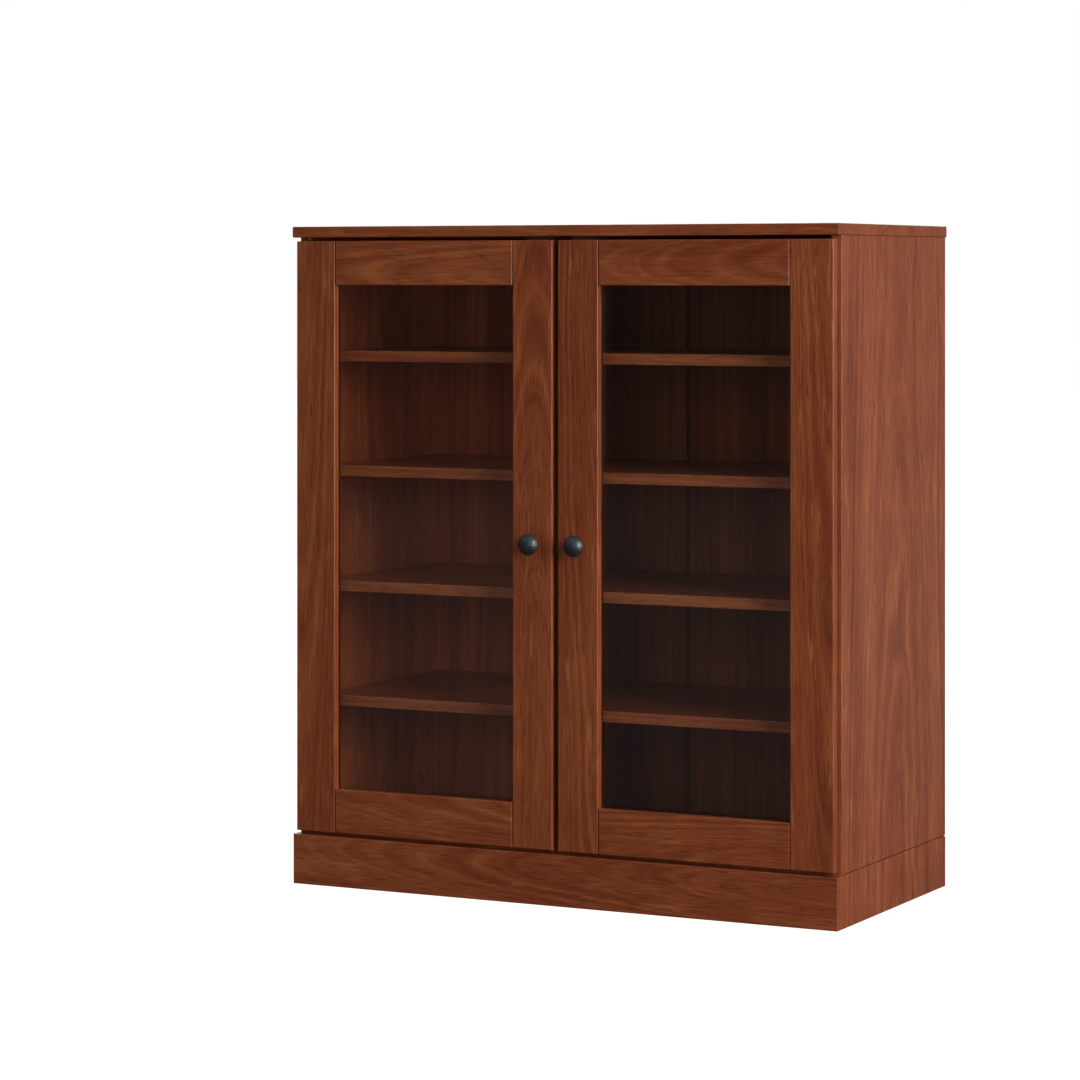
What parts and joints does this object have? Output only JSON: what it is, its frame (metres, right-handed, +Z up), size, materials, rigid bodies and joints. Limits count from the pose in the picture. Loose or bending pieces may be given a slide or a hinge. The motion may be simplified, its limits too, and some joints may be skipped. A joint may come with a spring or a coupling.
{
  "type": "glazed two-door bookcase",
  "caption": "Wooden bookcase on a plinth, with adjustable shelves behind a pair of framed, side-hinged glass doors with round knobs.",
  "frame": {"origin": "on the floor, at the middle of the whole footprint, knobs included", "axes": "+Z up, +X to the right seen from the front, -Y out of the front, the side with the doors"},
  "size_m": [0.806, 0.41, 0.9],
  "materials": {
    "stained_wood": "reddish brown stained wood, satin lacquer",
    "back_board": "thin board, same reddish brown face",
    "brown_plastic": "brown, satin",
    "plated_steel": "nickel plated",
    "plain_wood": "unfinished softwood",
    "zinc_casting": "die-cast zinc, dull",
    "glass": "clear float glass",
    "bead_plastic": "dark brown, matt",
    "knob_metal": "dark gunmetal, satin"
  },
  "bodies": {
    "root": {"top_panel": "stained_wood", "left_side_panel": "stained_wood", "right_side_panel": "stained_wood", "bottom_panel": "stained_wood", "back_panel_left": "back_board", "back_panel_right": "back_board", "back_joining_strip": "brown_plastic", "back_nails": "plated_steel", "plinth_front": "stained_wood", "plinth_left": "stained_wood", "plinth_right": "stained_wood", "plinth_back": "stained_wood", "plinth_corner_blocks": "plain_wood", "left_cleat": "plain_wood", "right_cleat": "plain_wood", "cleat_screws": "plated_steel", "shelf_1": "stained_wood", "shelf_2": "stained_wood", "shelf_3": "stained_wood", "shelf_4": "stained_wood", "shelf_pins": "plated_steel", "cam_locks": "zinc_casting", "cam_bolts": "plated_steel", "cam_caps": "brown_plastic", "panel_dowels": "plain_wood", "left_hinge_arms": "plated_steel", "right_hinge_arms": "plated_steel", "left_hinge_plates": "plated_steel", "right_hinge_plates": "plated_steel", "hinge_plate_screws": "plated_steel", "hinge_arm_screws": "plated_steel", "catch_bodies": "brown_plastic", "catch_magnets": "plated_steel", "catch_screws": "plated_steel"},
    "left_door": {"left_door_hinge_stile": "stained_wood", "left_door_meeting_stile": "stained_wood", "left_door_top_rail": "stained_wood", "left_door_bottom_rail": "stained_wood", "left_door_frame_dowels": "plain_wood", "left_door_glass": "glass", "left_door_glazing_beads": "bead_plastic", "left_door_hinge_cups": "plated_steel", "left_door_hinge_pins": "plated_steel", "left_door_cup_screws": "plated_steel", "left_door_knob": "knob_metal", "left_door_knob_screw": "plated_steel", "left_door_strike": "plated_steel"},
    "right_door": {"right_door_hinge_stile": "stained_wood", "right_door_meeting_stile": "stained_wood", "right_door_top_rail": "stained_wood", "right_door_bottom_rail": "stained_wood", "right_door_frame_dowels": "plain_wood", "right_door_glass": "glass", "right_door_glazing_beads": "bead_plastic", "right_door_hinge_cups": "plated_steel", "right_door_hinge_pins": "plated_steel", "right_door_cup_screws": "plated_steel", "right_door_knob": "knob_metal", "right_door_knob_screw": "plated_steel", "right_door_strike": "plated_steel"}
  },
  "joints": [
    {"name": "left_door_swing", "type": "hinge", "parent": "root", "child": "left_door", "pos_m": [-0.3885, -0.1768, 0.4775], "axis": [0, 0, -1], "range_deg": [0, 100]},
    {"name": "right_door_swing", "type": "hinge", "parent": "root", "child": "right_door", "pos_m": [0.3885, -0.1768, 0.4775], "axis": [0, 0, 1], "range_deg": [0, 100]}
  ]
}
